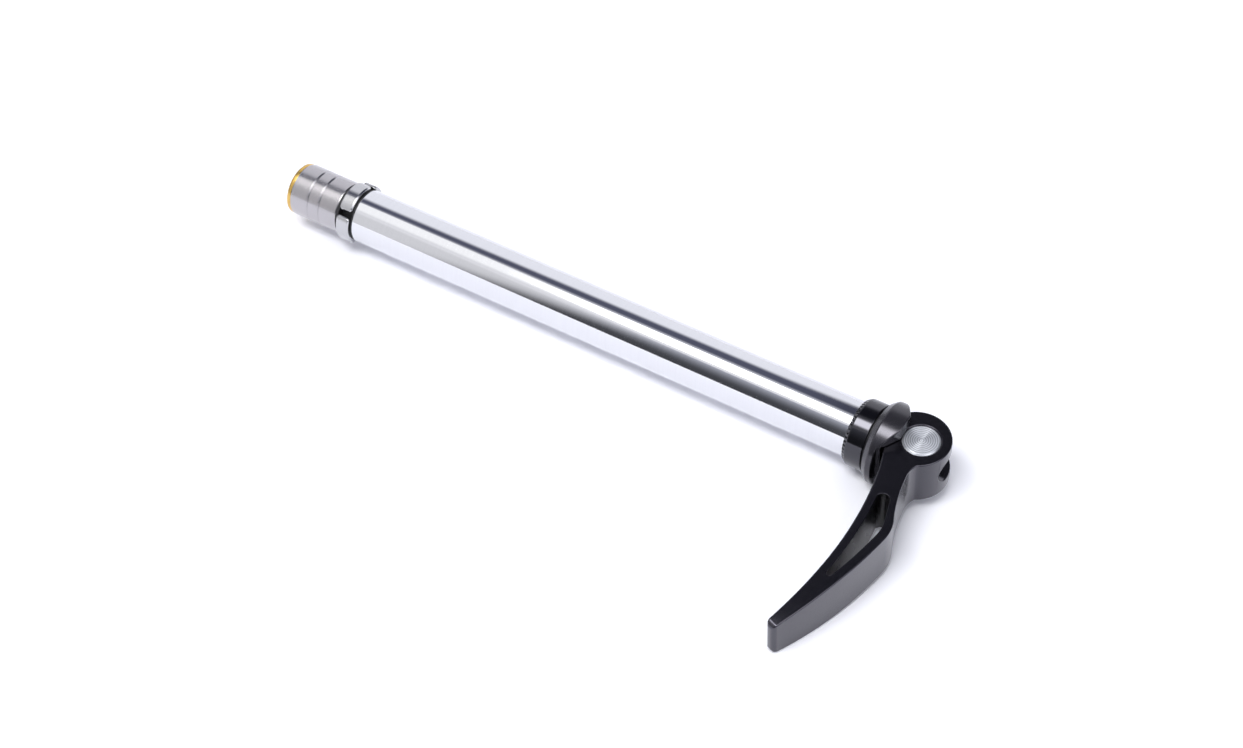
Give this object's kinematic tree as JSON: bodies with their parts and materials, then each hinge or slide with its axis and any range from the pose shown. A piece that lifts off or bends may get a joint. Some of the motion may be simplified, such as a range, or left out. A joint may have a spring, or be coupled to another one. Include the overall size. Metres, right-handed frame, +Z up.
{
  "type": "fork thru axle",
  "caption": "Quick-release thru axle: bright hollow tube with a cam lever and collar at one end and a push-button flange of retracting segments at the other; clamps a wheel hub in a fork.",
  "frame": {"origin": "on the tube's centre line, at the collar's clamping face", "axes": "+X along the tube towards the lever; +Z up as it lies on a table; the closed lever points to -Y, its tip turned a few degrees down"},
  "size_m": [0.1989, 0.0772, 0.0221],
  "materials": {
    "tube": "bright polished",
    "black_insert": "matte black",
    "sleeve": "fine turned, grey anodised",
    "ring": "gold anodised",
    "button": "grey anodised",
    "steel": "turned",
    "spring": "drawn wire",
    "bush": "turned",
    "collar": "glossy black",
    "washer": "dark grey, matte",
    "pin": "turned end face",
    "lever": "black anodised, semi-gloss",
    "segment": "polished"
  },
  "bodies": {
    "axle": {"axle_tube": "tube", "flange_carrier": "black_insert", "end_sleeve": "sleeve", "end_ring": "ring", "spring_seat": "steel", "rod_bush": "bush", "release_spring": "spring", "collar_spring": "spring"},
    "button": {"push_button": "button", "cam_rod": "steel"},
    "rod": {"draw_rod": "steel", "rod_nut": "steel", "rod_washer": "steel", "barrel_pin": "pin"},
    "lever": {"cam_lever": "lever"},
    "washer": {"saddle_washer": "washer"},
    "collar": {"shoulder_collar": "collar", "thrust_ring": "black_insert"},
    "segment_1": {"flange_segment_1": "segment", "segment_pin_1": "steel"},
    "segment_2": {"flange_segment_2": "segment", "segment_pin_2": "steel"},
    "segment_3": {"flange_segment_3": "segment", "segment_pin_3": "steel"},
    "segment_4": {"flange_segment_4": "segment", "segment_pin_4": "steel"}
  },
  "joints": [
    {"name": "button_push", "type": "slide", "parent": "axle", "child": "button", "axis": [1, 0, 0], "range_m": [0, 0.0032], "stiffness_N_per_m": 800, "springref_m": -0.002, "deforming": ["release_spring"]},
    {"name": "lever_turn", "type": "hinge", "parent": "axle", "child": "rod", "pos_m": [0, 0, 0], "axis": [1, 0, 0], "continuous": true},
    {"name": "lever_swing", "type": "hinge", "parent": "rod", "child": "lever", "pos_m": [0.0178, 0, 0], "axis": [0, -0.0854, 0.9963], "range_deg": [0, 180]},
    {"name": "washer_slide", "type": "slide", "parent": "rod", "child": "washer", "axis": [1, 0, 0], "range_m": [0, 0.0015]},
    {"name": "collar_slide", "type": "slide", "parent": "axle", "child": "collar", "axis": [1, 0, 0], "range_m": [0, 0.0015], "deforming": ["collar_spring"]},
    {"name": "segment_1_slide", "type": "slide", "parent": "axle", "child": "segment_1", "axis": [0, 0.1719, -0.9851], "range_m": [0, 0.0011]},
    {"name": "segment_2_slide", "type": "slide", "parent": "axle", "child": "segment_2", "axis": [0, 0.9851, 0.1719], "range_m": [0, 0.0011]},
    {"name": "segment_3_slide", "type": "slide", "parent": "axle", "child": "segment_3", "axis": [0, -0.1719, 0.9851], "range_m": [0, 0.0011]},
    {"name": "segment_4_slide", "type": "slide", "parent": "axle", "child": "segment_4", "axis": [0, -0.9851, -0.1719], "range_m": [0, 0.0011]}
  ],
  "couplings": [
    {"joint": "washer_slide", "follows": "lever_swing", "m_per_rad": 0.000477},
    {"joint": "collar_slide", "follows": "lever_swing", "m_per_rad": 0.000477},
    {"joint": "segment_1_slide", "follows": "button_push", "ratio": 0.34375},
    {"joint": "segment_2_slide", "follows": "button_push", "ratio": 0.34375},
    {"joint": "segment_3_slide", "follows": "button_push", "ratio": 0.34375},
    {"joint": "segment_4_slide", "follows": "button_push", "ratio": 0.34375}
  ]
}
